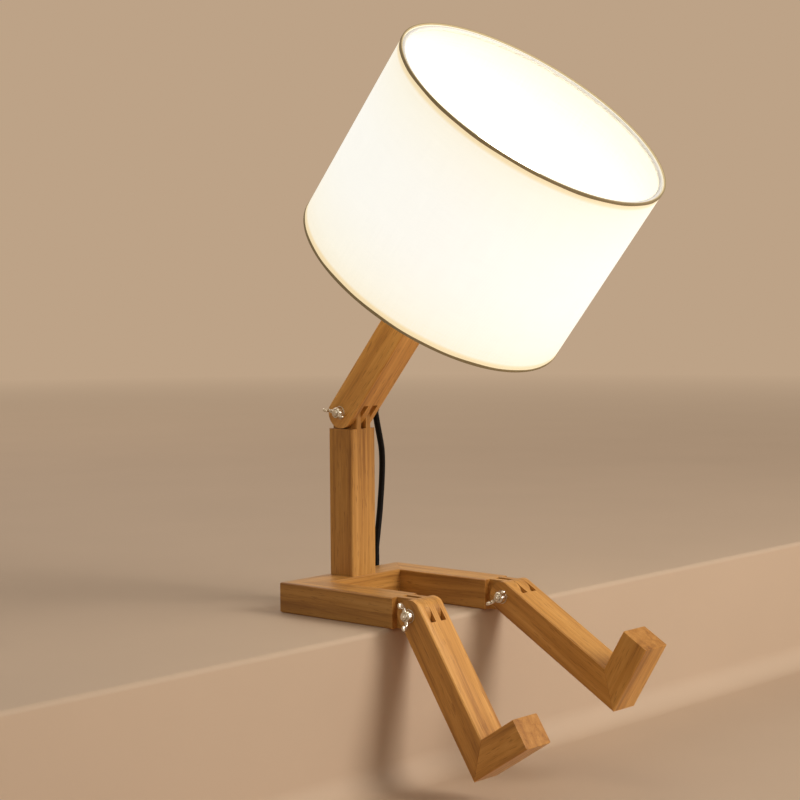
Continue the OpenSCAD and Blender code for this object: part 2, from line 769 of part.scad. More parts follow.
module plug_body() {
    waist = 5;
    color(black) plug_frame() {
        intersection() {
            translate([plug_z, 0, 0]) rotate([0, -90, 0]) linear_extrude(plug_t) polygon([
                [0, -plug_w / 2 + 1], [0, plug_w / 2 - 1], [-1, plug_w / 2], [-8, plug_w / 2],
                [-13, plug_w / 2 - 1.6], [-18, plug_w / 2 - 2.6], [-plug_len, waist],
                [-plug_len, -waist], [-18, -plug_w / 2 + 2.6], [-13, -plug_w / 2 + 1.6],
                [-8, -plug_w / 2], [-1, -plug_w / 2]
            ]);
            rotate([90, 0, 0]) linear_extrude(plug_w, center = true) polygon([
                [-plug_z + 0.8, 0], [plug_z - 0.8, 0], [plug_z, -1], [plug_z, -18],
                [waist, -plug_len], [-waist, -plug_len], [-plug_z, -18], [-plug_z, -1]
            ]);
        }
        translate([0, 0, -plug_len - relief_len]) difference() {
            cylinder(r1 = cord_r + 0.5, r2 = 4.4, h = relief_len);
            for (i = [1 : 4]) translate([0, 0, i * 3.8]) difference() {
                cylinder(r = 6, h = 1.4);
                translate([0, 0, -over]) cylinder(r = cord_r + 0.25, h = 4);
            }
        }
    }
}

module plug_blades() {
    blade = [6.35, 1.5, 16.5];
    apart = 12.7;
    color(brass) plug_frame() for (side = [-1, 1]) translate([0, side * apart / 2, 0])
        difference() {
            translate([-blade[0] / 2, -blade[1] / 2, 0]) cube(blade);
            translate([0, 0, blade[2] - 4.5]) rotate([90, 0, 0])
                cylinder(d = 3, h = 4, center = true);
        }
}

echo(coil_gap_mm = coil_gap());
echo(cord_mm = line_len(drop_route) + line_len(coil_line) + line_len(tail_route),
    drop = line_len(drop_route), coil = line_len(coil_line), tail = line_len(tail_route));

crossbar();
right_arm();
left_arm();
torso_post();
mitre_dowels();
post_screws();
neck_bar();
neck_bolt();
neck_washer();
neck_wing_nut();
holder_nipple();
holder_cap();
holder_shell();
holder_core();
holder_contact();
switch_knob();
shade_ring_nut();
fitter_ring();
shade_spider();
bottom_ring();
shade_fabric();
top_ring();
top_trim();
bottom_trim();
bulb_cap();
bulb_globe();
right_shin();
right_foot();
right_foot_dowels();
right_hip_bolt();
right_hip_washer();
right_wing_nut();
left_shin();
left_foot();
left_foot_dowels();
left_hip_bolt();
left_hip_washer();
left_wing_nut();
cord_gland();
inner_lead();
cord_drop();
cord_coil();
cord_tail();
plug_body();
plug_blades();
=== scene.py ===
import json
import math

import bmesh
import bpy
import numpy as np
from mathutils import Matrix, Vector


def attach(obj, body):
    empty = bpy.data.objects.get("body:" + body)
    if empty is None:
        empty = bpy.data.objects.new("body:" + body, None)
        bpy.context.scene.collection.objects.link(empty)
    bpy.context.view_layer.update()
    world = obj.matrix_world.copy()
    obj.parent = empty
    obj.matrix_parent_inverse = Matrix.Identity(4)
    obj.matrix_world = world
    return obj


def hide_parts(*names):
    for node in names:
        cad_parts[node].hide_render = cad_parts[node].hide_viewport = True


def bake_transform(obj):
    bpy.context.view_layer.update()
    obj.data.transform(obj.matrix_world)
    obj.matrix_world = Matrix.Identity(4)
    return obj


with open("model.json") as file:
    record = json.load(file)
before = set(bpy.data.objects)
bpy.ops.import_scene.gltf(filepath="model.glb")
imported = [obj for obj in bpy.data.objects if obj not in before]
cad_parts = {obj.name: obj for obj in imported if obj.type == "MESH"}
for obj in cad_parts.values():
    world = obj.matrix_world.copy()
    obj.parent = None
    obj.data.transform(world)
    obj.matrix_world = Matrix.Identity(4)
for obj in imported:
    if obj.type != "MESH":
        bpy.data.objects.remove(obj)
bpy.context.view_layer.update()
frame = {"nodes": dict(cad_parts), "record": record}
record = frame["record"]
bodyOf = {n: b for b, nodes in record["behaviour"]["bodies"].items() for n in nodes}

tau = 2 * math.pi
nearAxis = 0.00002                   # outlines that close on their axis end this far from it
seatPlane = 0.0                      # the seat's underside rests on this level
neckAxis = np.array([0.0, 0.0, 0.147])
neckTilt = math.radians(39)
rightHip = np.array([-0.0525, -0.1145, 0.01125])
leftHip = np.array([0.0525, -0.1145, 0.01125])
rightLean = math.radians(90 + 57)    # turn of each shin from upright
leftLean = math.radians(90 + 30.5)


# Matrix that turns about +X, carrying +Y towards +Z.
def turnX(angle):
    c, s = math.cos(angle), math.sin(angle)
    return np.array([[1, 0, 0], [0, c, -s], [0, s, c]])


neckTurn = turnX(neckTilt)


# Neck frame (x, rear, along the bar) to the lamp's frame.
def fromNeck(points):
    return np.asarray(points, float) @ neckTurn.T + neckAxis


# Angles of a number of steps once round.
def fullTurn(steps):
    return np.linspace(0, tau, steps, endpoint=False)


def unitRows(v):
    return v / np.linalg.norm(v, axis=-1, keepdims=True)


# Quads of a grid whose point (i, j) is number i * cols + j.
def gridFaces(rows, cols, closeRows=False, closeCols=True):
    i = np.arange(rows if closeRows else rows - 1)[:, None]
    j = np.arange(cols if closeCols else cols - 1)[None, :]
    a = i * cols + j
    b = i * cols + (j + 1) % cols
    c = (i + 1) % rows * cols + (j + 1) % cols
    d = (i + 1) % rows * cols + j
    return [tuple(q) for q in np.stack([a, b, c, d], -1).reshape(-1, 4).tolist()]


# Points and faces of a grid closed round its columns, with a fan's middle point at each open end.
def cappedGrid(points, closeRows=False):
    rows, cols = points.shape[:2]
    verts = points.reshape(-1, 3)
    quads = gridFaces(rows, cols, closeRows)
    if closeRows:
        return verts, quads
    ends = np.stack([points[0].mean(0), points[-1].mean(0)])
    ring = np.arange(cols)
    after = (ring + 1) % cols
    first = np.stack([after, ring, np.full(cols, len(verts))], 1)
    base = (rows - 1) * cols
    last = np.stack([base + ring, base + after, np.full(cols, len(verts) + 1)], 1)
    return np.vstack([verts, ends]), quads + [tuple(f) for f in np.vstack([first, last]).tolist()]


# Object of a mesh with smooth faces, whose edges are sharp past an angle in degrees.
def smoothPiece(name, mesh, smooth):
    mesh.polygons.foreach_set("use_smooth", [True] * len(mesh.polygons))
    mesh.set_sharp_from_angle(angle=math.radians(smooth))
    piece = bpy.data.objects.new(name, mesh)
    bpy.context.scene.collection.objects.link(piece)
    return piece


# One mesh object from a list of (points, faces); normals are made to point outwards.
def makePiece(name, parts, smooth=35, uv=None):
    verts, faces, start = [], [], 0
    for points, cells in parts:
        verts.append(np.asarray(points, float))
        faces += [tuple(k + start for k in f) for f in cells]
        start += len(points)
    mesh = bpy.data.meshes.new(name)
    mesh.from_pydata(np.vstack(verts).tolist(), [], faces)
    if uv is not None:
        layer = mesh.uv_layers.new(name="uv")
        corner = np.empty(len(mesh.loops), np.int32)
        mesh.loops.foreach_get("vertex_index", corner)
        layer.data.foreach_set("uv", np.asarray(uv, np.float32)[corner].ravel())
    work = bmesh.new()
    work.from_mesh(mesh)
    bmesh.ops.recalc_face_normals(work, faces=work.faces)
    work.to_mesh(mesh)
    work.free()
    return smoothPiece(name, mesh, smooth)


# Point (i, j) lies radius[i, j] from the axis at angle[i], and height[i, j] along it.
def ringsAbout(radius, height, angle):
    height = np.broadcast_to(height, radius.shape)
    return np.stack([radius * np.cos(angle)[:, None], radius * np.sin(angle)[:, None], height], -1)


# Closed half outline (radius, height) turned about the height axis; place maps its points.
def revolve(profile, around=64, place=None):
    profile = np.asarray(profile, float)
    angle = fullTurn(around)
    radius = np.broadcast_to(profile[:, 0], (around, len(profile)))
    points = ringsAbout(radius, profile[:, 1], angle)
    points = points if place is None else place(points)
    return points.reshape(-1, 3), gridFaces(around, len(profile), closeRows=True)


# Superellipse at the angles, as its two coordinates; a higher power squares it more.
def squaredRound(angle, power):
    c, s = np.cos(angle), np.sin(angle)
    r = (np.abs(c) ** power + np.abs(s) ** power) ** (-1 / power)
    return c * r, s * r


# Catmull-Rom curve through the points, with steps points to each chord.
def smoothLine(points, steps):
    p = np.asarray(points, float)
    p = np.vstack([2 * p[0] - p[1], p, 2 * p[-1] - p[-2]])
    t = np.linspace(0, 1, steps, endpoint=False)[None, :, None]
    a, b, c, d = (p[i:len(p) - 3 + i][:, None, :] for i in range(4))
    curve = 0.5 * (2 * b + (c - a) * t + (2 * a - 5 * b + 4 * c - d) * t ** 2
                   + (3 * b - a - 3 * c + d) * t ** 3)
    return np.vstack([curve.reshape(-1, 3), p[-2]])


def lineLength(points):
    return float(np.linalg.norm(np.diff(points, axis=0), axis=1).sum())


# Two directions across a line, built from one fixed reference direction.
def sideways(points, reference):
    tangent = unitRows(np.gradient(points, axis=0))
    reference = np.asarray(reference, float)
    across = unitRows(reference - (tangent @ reference)[:, None] * tangent)
    return across, np.cross(tangent, across)


# Round tube: ring i is radius(i) * (cos a * across + sin a * up) about point i.
def tube(points, radius, sides=12, reference=(0, 0.6, 0.8)):
    across, up = sideways(points, reference)
    angle = fullTurn(sides)[None, :, None]
    radius = np.broadcast_to(np.asarray(radius, float), (len(points),))[:, None, None]
    rings = points[:, None, :] + radius * (np.cos(angle) * across[:, None, :]
                                           + np.sin(angle) * up[:, None, :])
    return cappedGrid(rings)


# Empty node group with its inputs (name, kind, value) and outputs (name, kind).
def socketed(name, inputs, outputs):
    group = bpy.data.node_groups.new(name, "ShaderNodeTree")
    for label, kind, value in inputs:
        socket = group.interface.new_socket(name=label, in_out="INPUT", socket_type="NodeSocket" + kind)
        if value is not None:
            socket.default_value = value
    for label, kind in outputs:
        group.interface.new_socket(name=label, in_out="OUTPUT", socket_type="NodeSocket" + kind)
    return group, group.nodes.new("NodeGroupInput"), group.nodes.new("NodeGroupOutput")


# Returns add(kind, {socket: value or socket}, **settings), which places one node in the tree.
def nodeMaker(tree):
    def add(kind, links=None, **settings):
        node = tree.nodes.new("ShaderNode" + kind)
        for key, value in settings.items():
            setattr(node, key, value)
        for key, value in (links or {}).items():
            if isinstance(value, bpy.types.NodeSocket):
                tree.links.new(value, node.inputs[key])
            else:
                node.inputs[key].default_value = value
        return node
    return add


# Color Ramp over value with stops (position, colour).
def ramp(add, value, stops):
    node = add("ValToRGB", {"Fac": value})
    ends = node.color_ramp.elements
    ends[0].position, ends[0].color = stops[0][0], stops[0][1]
    ends[1].position, ends[1].color = stops[-1][0], stops[-1][1]
    for place, colour in stops[1:-1]:
        ends.new(place).color = colour
    return node.outputs["Color"]


def mapped(add, value, low, high, toLow=0.0, toHigh=1.0):
    node = add("MapRange", {"Value": value, "From Min": low, "From Max": high,
                            "To Min": toLow, "To Max": toHigh})
    return node.outputs["Result"]


# One step of arithmetic.
def sums(add, operation, first, *second):
    return add("Math", dict(enumerate((first, *second))), operation=operation).outputs["Value"]


# Noise whose vector is stretched by a scale for each axis.
def noise(add, vector, stretch, **sockets):
    placed = {"Vector": scaledVector(add, vector, stretch), "Scale": 1.0, **sockets}
    return add("TexNoise", placed).outputs["Fac"]


def mixedValues(add, share, first, second):
    return add("Mix", {"Factor": share, "A": first, "B": second}, data_type="FLOAT").outputs["Result"]


# Mix of two colours, which are the Mix node's inputs 6 and 7, and its output 2.
def mixedColours(add, share, first, second, blend="MIX"):
    node = add("Mix", {"Factor": share, 6: first, 7: second}, data_type="RGBA", blend_type=blend)
    return node.outputs[2]


def scaledVector(add, vector, scale):
    return add("VectorMath", {0: vector, 1: scale}, operation="MULTIPLY").outputs["Vector"]


# Material with its Principled shader; returns (material, add, shader).
def newMaterial(name):
    material = bpy.data.materials.new(name)
    material.use_nodes = True
    tree = material.node_tree
    return material, nodeMaker(tree), tree.nodes["Principled BSDF"]


def bumped(add, shader, height, strength, distance):
    normal = add("Bump", {"Height": height, "Strength": strength, "Distance": distance})
    shader.id_data.links.new(normal.outputs["Normal"], shader.inputs["Normal"])


def feed(shader, socketName, value):
    shader.id_data.links.new(value, shader.inputs[socketName])


# Sets the shader's own sockets; an underscore in a name stands for a space.
def setSockets(shader, **values):
    for key, value in values.items():
        shader.inputs[key.replace("_", " ")].default_value = value


# The piece takes a node's place, with the node's own body.
def standIn(piece, node):
    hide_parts(node)
    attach(piece, bodyOf[node])
    return piece


# Name of a piece made from a node's name, as in neck_bar to neckBar.
def pieceName(node):
    first, *rest = node.split("_")
    return first + "".join(word.capitalize() for word in rest)


# The piece shows this one material.
def dress(piece, material):
    mesh = piece.data
    mesh.materials.clear()
    mesh.materials.append(material)
    return piece


cameraValues = {
    "place": (-1.12334, -1.03747, 0.25931),
    "right": (0.66017, -0.75108, -0.00719),
    "up": (0.05557, 0.03929, 0.99768),
    "forward": (0.74906, 0.65904, -0.06767),
    "lens": 90.37,                   # millimetres, on a sensor 36 mm wide
}


def makeCamera(v):
    data = bpy.data.cameras.new("camera")
    data.sensor_fit, data.sensor_width, data.lens = "HORIZONTAL", 36.0, v["lens"]
    data.clip_start, data.clip_end = 0.01, 100.0
    camera = bpy.data.objects.new("camera", data)
    bpy.context.scene.collection.objects.link(camera)
    right, up, forward = (Vector(v[k]).normalized() for k in ("right", "up", "forward"))
    turn = Matrix((right, up, -forward)).transposed().to_4x4()
    camera.matrix_world = Matrix.Translation(v["place"]) @ turn
    bpy.context.scene.camera = camera


makeCamera(cameraValues)
print("camera placed")


cordValues = {
    "diameter": 0.0048,
    "coilMiddle": (0.104, 0.047),
    "coilRadius": 0.0456,            # outermost turn
    "coilPitch": 0.00525,
    "coilStart": 130.0,              # degrees, the outer end's angle about the middle
    "coilTurns": 5.2,
    "roundSides": 12,
}
exitLean = math.radians(35)          # the lead's hole leans this much from the neck bar's length
exitOut = np.array([math.sin(exitLean), 0, -math.cos(exitLean)])
exitMouth = np.array([0.013, 0, 0.020])
reliefLength = 0.024
cordLie = cordValues["diameter"] / 2


# Archimedes' spiral, clockwise and inwards: the radius shrinks by one pitch a turn.
def coilPoint(turns):
    turns = np.asarray(turns, float)
    angle = math.radians(cordValues["coilStart"]) - tau * turns
    radius = cordValues["coilRadius"] - cordValues["coilPitch"] * turns
    return np.stack([cordValues["coilMiddle"][0] + radius * np.cos(angle),
                     cordValues["coilMiddle"][1] + radius * np.sin(angle),
                     np.full_like(turns, cordLie)], -1)


# The CAD route's points in metres, smoothed: down from the relief, a loop, the coil, the plug.
def cordRoute():
    reliefEnd = fromNeck([exitMouth + reliefLength * exitOut])[0]
    outwards = neckTurn @ exitOut
    low, over = cordLie * 1000, (3 * cordLie + 0.0005) * 1000
    drop = np.array([
        [33, 3.5, 135], [37.5, 5.5, 126], [42, 7.5, 116], [45.5, 10, 106], [47.5, 12, 96],
        [48.5, 13.5, 86], [48.5, 14.5, 76], [48.5, 15.5, 66], [47.5, 16, 56], [46.5, 16.5, 46],
        [45.5, 17, 36], [45.5, 17, 25], [43.5, 17, 14], [38.5, 17, 7], [31, 17.5, 3.2],
        [22, 18, low], [12, 18.5, low], [2, 19, low], [-8, 21.7, low], [-15.3, 29, low],
        [-18, 39, low], [-15.3, 49, low], [-8, 56.3, low], [2, 59, low], [14, 60, low],
        [26, 61.5, low], [38, 64.5, low], [50, 69, low], [62, 75, low]]) / 1000
    tail = np.array([
        [118.7, 57.3, low + 0.3], [121.9, 48.6, low + 1.3], [120.2, 39.5, low + 2.7],
        [114.5, 32.4, low + 4.2], [106.5, 28.8, over], [97.5, 28.2, over], [88, 29.8, over],
        [78, 32.5, over], [69, 35.3, over - 0.2], [61, 37.3, 7.1], [54, 38, 6.75]]) / 1000
    rings = round(cordValues["coilTurns"] * 24)
    coil = coilPoint(np.append(np.arange(rings + 1), rings + 0.4) / 24)
    start = np.vstack([reliefEnd, reliefEnd + 0.005 * outwards])
    return smoothLine(np.vstack([start, drop, coil, tail]), 3)


def makeCord():
    path = cordRoute()
    sides = cordValues["roundSides"]
    points, faces = tube(path, cordLie, sides)
    along = np.concatenate([[0], np.cumsum(np.linalg.norm(np.diff(path, axis=0), axis=1))])
    uv = np.stack([np.repeat(along, sides), np.tile(np.arange(sides) / sides, len(path))], -1)
    uv = np.vstack([uv, [[0, 0], [along[-1], 0]]])
    piece = makePiece("flex", [(points, faces)], uv=uv)
    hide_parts("cord_drop", "cord_coil", "cord_tail")
    return piece, path


flex, flexPath = makeCord()


tieValues = {
    "angle": -70.0,                  # degrees, where the strap crosses the coil
    "width": 0.009, "thick": 0.0011, "inner": 0.0155, "outer": 0.0487, "top": 0.0063,
    "clear": 0.0002,                 # the band's lowest height
    "tabMiddle": 0.002, "tabHalf": 0.008, "tabRise": 0.0011, "tabThick": 0.0008,
    "tabInset": 0.0004,              # of the tab's sides and ends in the band
}


# Hook and loop strap: a band round the coil's turns, with one lapped end. Its loop is a superellipse,
# so it is flat over the turns and round at its ends.
def makeTie(v):
    angle = math.radians(v["angle"])
    outwards = np.array([math.cos(angle), math.sin(angle), 0])
    along = np.array([-math.sin(angle), math.cos(angle), 0])
    middle = np.array([*cordValues["coilMiddle"], 0])
    half, centre = (v["outer"] - v["inner"]) / 2, (v["outer"] + v["inner"]) / 2
    wide, high = squaredRound(fullTurn(72), 8)

    def edge(x, z, side):
        return middle + x[:, None] * outwards + z[:, None] * np.array([0, 0, 1]) + side * along

    # the band's four edge loops: outer left, outer right, inner right, inner left
    loops = []
    for grow, side in ((0, -1), (0, 1), (-v["thick"], 1), (-v["thick"], -1)):
        z = v["top"] / 2 + (v["top"] / 2 - v["clear"] + grow) * high
        loops.append(edge(centre + (half + grow) * wide, np.maximum(z, v["clear"]),
                          side * v["width"] / 2))
    # the lapped end lies on top as a thin tab
    u = np.linspace(-1, 1, 9)
    x = centre + v["tabMiddle"] + u * v["tabHalf"]
    z = v["top"] - v["tabInset"] + v["tabRise"] * (1 - u ** 8)
    rows = np.stack([edge(x, z + d, side * (v["width"] / 2 - v["tabInset"]))
                     for d, side in ((0, -1), (0, 1), (-v["tabThick"], 1), (-v["tabThick"], -1))], 1)
    return makePiece("cordTie", [cappedGrid(np.stack(loops, 1), closeRows=True), cappedGrid(rows)],
                     smooth=40)


cordTie = makeTie(tieValues)
print("cord laid:", round(lineLength(flexPath), 3), "m")


plugValues = {
    "face": (0.008, 0.038, 0.00675), "width": 0.021, "thick": 0.0135, "body": 0.026, "relief": 0.020,
    "sides": 48,
    "grip": 0.0001174,               # depth of the dip and height of the swell on its broad sides
    "reliefRadius": 0.0041, "tipOver": 0.0005, "grooveOver": 0.0003,
}


# Moulded plug lofted along the blades' axis: superellipse sections whose width and thickness swell
# from the relief to a waist and to the face, then a ribbed relief whose radius steps.
def makePlug(v):
    t = v["body"] * np.array([0, 0.015, 0.05, 0.12, 0.25, 0.38, 0.5, 0.62, 0.75, 0.88, 0.96, 1.0])
    wide = v["width"] / 2 * np.array([.90, .95, .985, 1, 1, .965, .90, .82, .73, .62, .52, .42])
    tall = v["thick"] / 2 * np.array([.86, .93, .98, 1, 1, .99, .97, .93, .86, .78, .70, .62])
    # for the fingers the broad sides dip nearer the face and swell nearer the relief
    grip = v["grip"] * np.array([0, 0, 0, 0, 0, -1, 0, 1, 0, 0, 0, 0])
    angle = fullTurn(v["sides"])
    c, s = squaredRound(angle, 3.6)
    body = np.stack(np.broadcast_arrays(
        t[:, None], wide[:, None] * c, tall[:, None] * s + grip[:, None] * np.sign(s)), -1)
    u = np.linspace(0, 1, 81)
    grooves = ((u * 5.2) % 1 < 0.36) & (u > 0.12) & (u < 0.97)
    taper = v["reliefRadius"] + (cordLie + v["tipOver"] - v["reliefRadius"]) * u
    radius = np.where(grooves, cordLie + v["grooveOver"], taper)[:, None]
    along = (v["body"] - 0.0006 + u * v["relief"])[:, None]
    relief = np.stack(np.broadcast_arrays(along, radius * np.cos(angle), radius * np.sin(angle)), -1)
    place = np.array(v["face"])
    return makePiece("plug", [cappedGrid(body + place), cappedGrid(relief + place)], smooth=50)


plug = standIn(makePlug(plugValues), "plug_body")
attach(cordTie, "seat")
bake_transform(flex)
print("plug made")


# radii to which the edges of wood, washers and lampholder are eased
edgeValues = {"wood": 0.00045, "washer": 0.00018, "holder": 0.00025}


# Merged copy of a CAD node with its flat faces joined and its edges rounded by a Bevel.
def roundedCopy(node, name, width):
    mesh = frame["nodes"][node].data.copy()
    work = bmesh.new()
    work.from_mesh(mesh)
    bmesh.ops.remove_doubles(work, verts=work.verts, dist=1e-6)
    bmesh.ops.dissolve_limit(work, angle_limit=math.radians(0.6), verts=work.verts, edges=work.edges)
    work.to_mesh(mesh)
    work.free()
    mesh.name = name
    piece = smoothPiece(name, mesh, 30)
    bevel = piece.modifiers.new("edges", "BEVEL")
    bevel.width, bevel.segments, bevel.limit_method = width, 2, "ANGLE"
    bevel.angle_limit = math.radians(30)
    bevel.harden_normals = True
    return standIn(piece, node)


# Planed pale hardwood. Grain runs along the vector's Z: slow bands of colour, fine fibres and short
# dark pores are noises stretched along Z, so a cut end shows them as rings and dots.
def makeGrainGroup():
    group, given, put = socketed("woodGrain", [
        ("Vector", "Vector", None), ("Light", "Color", (0.8, 0.5, 0.25, 1)),
        ("Middle", "Color", (0.7, 0.4, 0.18, 1)), ("Dark", "Color", (0.5, 0.25, 0.1, 1)),
        ("Pores", "Float", 0.5)],
        [("Color", "Color"), ("Roughness", "Float"), ("Height", "Float")])
    add = nodeMaker(group)
    vector = given.outputs["Vector"]
    bend = add("TexNoise", {"Vector": scaledVector(add, vector, (9, 9, 5)), "Scale": 1.0, "Detail": 2.0})
    bendOffset = scaledVector(add, bend.outputs["Color"], (0.012, 0.012, 0.0))
    bent = add("VectorMath", {0: vector, 1: bendOffset}, operation="ADD").outputs["Vector"]
    bands = noise(add, bent, (190, 120, 4.0), Detail=4.0, Roughness=0.6, Distortion=0.4)
    cloud = noise(add, bent, (16, 16, 6), Detail=2.0)
    fibres = noise(add, bent, (1500, 1500, 26), Detail=3.0, Roughness=0.6)
    pores = noise(add, bent, (1150, 1150, 95), Detail=1.0, Roughness=0.4)
    mixed = mixedValues(add, 0.16, mixedValues(add, 0.28, bands, cloud), fibres)
    spread = mapped(add, mixed, 0.34, 0.64)
    dark = given.outputs["Dark"]
    low = mixedColours(add, mapped(add, spread, 0.0, 0.5), dark, given.outputs["Middle"])
    high = mixedColours(add, mapped(add, spread, 0.5, 1.0), low, given.outputs["Light"])
    poreMask = mapped(add, pores, 0.635, 0.70)
    poreShare = sums(add, "MULTIPLY", poreMask, given.outputs["Pores"])
    group.links.new(mixedColours(add, poreShare, high, dark), put.inputs["Color"])
    group.links.new(mapped(add, fibres, 0.3, 0.7, 0.34, 0.46), put.inputs["Roughness"])
    group.links.new(sums(add, "SUBTRACT", fibres, poreMask), put.inputs["Height"])
    return group


# Multiplies a colour by a tone on the faces that look along a direction: a cut end's tone or a painted
# shade.
def makeFaceToneAndShadeGroup():
    group, given, put = socketed("faceToneAndShade", [
        ("Color", "Color", (0.8, 0.8, 0.8, 1)), ("Direction", "Vector", None),
        ("Tone", "Color", (1, 1, 1, 1))], [("Color", "Color")])
    add = nodeMaker(group)
    facing = add("VectorMath", {0: add("TexCoord").outputs["Normal"], 1: given.outputs["Direction"]},
                 operation="DOT_PRODUCT").outputs["Value"]
    share = mapped(add, sums(add, "ABSOLUTE", facing), 0.80, 0.97)
    toned = mixedColours(add, share, given.outputs["Color"], given.outputs["Tone"], "MULTIPLY")
    group.links.new(toned, put.inputs["Color"])
    return group


grainGroup = makeGrainGroup()
faceToneAndShadeGroup = makeFaceToneAndShadeGroup()
woodTones = {
    # linear colours of the grain
    "Light": (0.680, 0.355, 0.100), "Middle": (0.520, 0.240, 0.052), "Dark": (0.270, 0.102, 0.018),
}
endTone = (0.80, 0.72, 0.62)         # tone of a cut end: the real darker end grain, and a painted shade in the hinges' slots


# Wood with its grain turned to run along a direction, cut from its own place in the plank, its colours
# scaled by a tone that is partly painted light and shade. Cut ends drink the varnish and are darker, which
# also stands in for the shade in the hinges' slots; the faces that look along X are darkened by a painted
# shade.
def woodMaterial(name, along, shift, toneAndPaintedLight=1.0, paintedSideShade=1.0):
    material, add, shader = newMaterial(name)
    coords = add("TexCoord").outputs["Object"]
    along = Vector(along).normalized()
    turn = along.rotation_difference(Vector((0, 0, 1))).to_euler()
    placed = add("Mapping", {"Vector": coords, "Rotation": turn, "Location": shift}).outputs["Vector"]
    # the board's tone, partly its own and partly painted light and shade, scales the grain colours
    tones = {key: (r * toneAndPaintedLight, g * toneAndPaintedLight, b * toneAndPaintedLight, 1) for key, (r, g, b) in woodTones.items()}
    grain = add("Group", {"Vector": placed, "Pores": 0.55, **tones}, node_tree=grainGroup)
    colour = grain.outputs["Color"]
    # cut ends get their darker tone; the faces that look along X get a painted side shade
    for direction, tone in ((along, endTone), (Vector((1, 0, 0)), (paintedSideShade, paintedSideShade, 0.9 * paintedSideShade))):
        toned = add("Group", {"Color": colour, "Direction": direction, "Tone": (*tone, 1)},
                    node_tree=faceToneAndShadeGroup)
        colour = toned.outputs["Color"]
    feed(shader, "Base Color", colour)
    feed(shader, "Roughness", grain.outputs["Roughness"])
    bumped(add, shader, grain.outputs["Height"], 0.25, 0.00012)
    setSockets(shader, Coat_Weight=0.25, Coat_Roughness=0.32, Specular_IOR_Level=0.3)
    return material


# A turned bar's own Z runs along it, and its own Y towards the toe.
neckAlong = neckTurn[:, 2]
rightToe, rightAlong = turnX(rightLean)[:, 1], turnX(rightLean)[:, 2]
leftToe, leftAlong = turnX(leftLean)[:, 1], turnX(leftLean)[:, 2]

woodPieces = {
    # node: (grain direction, place in the plank, tone, painted shade of the faces that look along X)
    # a tone is partly the board's own and partly painted light: lighter neck bar and shins, darker torso
    "crossbar": ((1, 0, 0), (0.31, 0.02, 0.11), 0.97, 1.0),
    "right_arm": ((0, 1, 0), (0.07, 0.43, 0.30), 1.0, 0.80),
    "left_arm": ((0, 1, 0), (0.55, 0.13, 0.72), 1.04, 0.80),
    "torso_post": ((0, 0, 1), (0.21, 0.66, 0.40), 0.92, 1.0),
    # painted light: the neck bar is lightened for the bulb's light that falls on it
    "neck_bar": (neckAlong, (0.83, 0.35, 0.05), 1.18, 1.0),
    "right_shin": (rightAlong, (0.14, 0.91, 0.64), 1.14, 0.86),
    "left_shin": (leftAlong, (0.47, 0.27, 0.93), 1.10, 0.93),
    "right_foot": (rightToe, (0.62, 0.58, 0.17), 1.06, 0.96),
    "left_foot": (leftToe, (0.92, 0.75, 0.36), 1.08, 0.93),
}
for node, (along, shift, tone, paintedSideShade) in woodPieces.items():
    name = pieceName(node) + "Wood"
    dress(roundedCopy(node, name, edgeValues["wood"]), woodMaterial(name, along, shift, tone, paintedSideShade))
for node, along in (("mitre_dowels", (1, 1, 0)), ("right_foot_dowels", rightAlong + rightToe),
                    ("left_foot_dowels", leftAlong + leftToe)):
    dress(frame["nodes"][node], woodMaterial(node + "Wood", along, (0.4, 0.8, 0.2), 0.95))
print("wood cut")


# Fine handling marks: a soft cloud and thin scratches, put out as a roughness and a height.
def makeWornGroup():
    group, given, put = socketed("handled", [
        ("Vector", "Vector", None), ("Smooth", "Float", 0.15), ("Rough", "Float", 0.35),
        ("Size", "Float", 400.0)], [("Roughness", "Float"), ("Height", "Float"), ("Cloud", "Float")])
    add = nodeMaker(group)
    vector = given.outputs["Vector"]
    cloud = add("TexNoise", {"Vector": vector, "Scale": given.outputs["Size"], "Detail": 4.0,
                             "Roughness": 0.6}).outputs["Fac"]
    scratch = noise(add, vector, (4000, 700, 900), Detail=2.0, Roughness=0.7)
    both = mixedValues(add, 0.35, cloud, scratch)
    rough = mixedValues(add, mapped(add, both, 0.3, 0.7), given.outputs["Smooth"], given.outputs["Rough"])
    group.links.new(rough, put.inputs["Roughness"])
    group.links.new(both, put.inputs["Height"])
    group.links.new(cloud, put.inputs["Cloud"])
    return group


handledGroup = makeWornGroup()


# Material whose colour drifts between two tones with the handled group's cloud.
def surfaced(name, dark, light, smooth, rough, size, strength, distance, **sockets):
    material, add, shader = newMaterial(name)
    marks = add("Group", {"Vector": add("TexCoord").outputs["Object"], "Smooth": smooth,
                          "Rough": rough, "Size": size}, node_tree=handledGroup)
    colour = ramp(add, marks.outputs["Cloud"], [(0.3, (*dark, 1)), (0.7, (*light, 1))])
    feed(shader, "Base Color", colour)
    feed(shader, "Roughness", marks.outputs["Roughness"])
    bumped(add, shader, marks.outputs["Height"], strength, distance)
    setSockets(shader, **sockets)
    return material


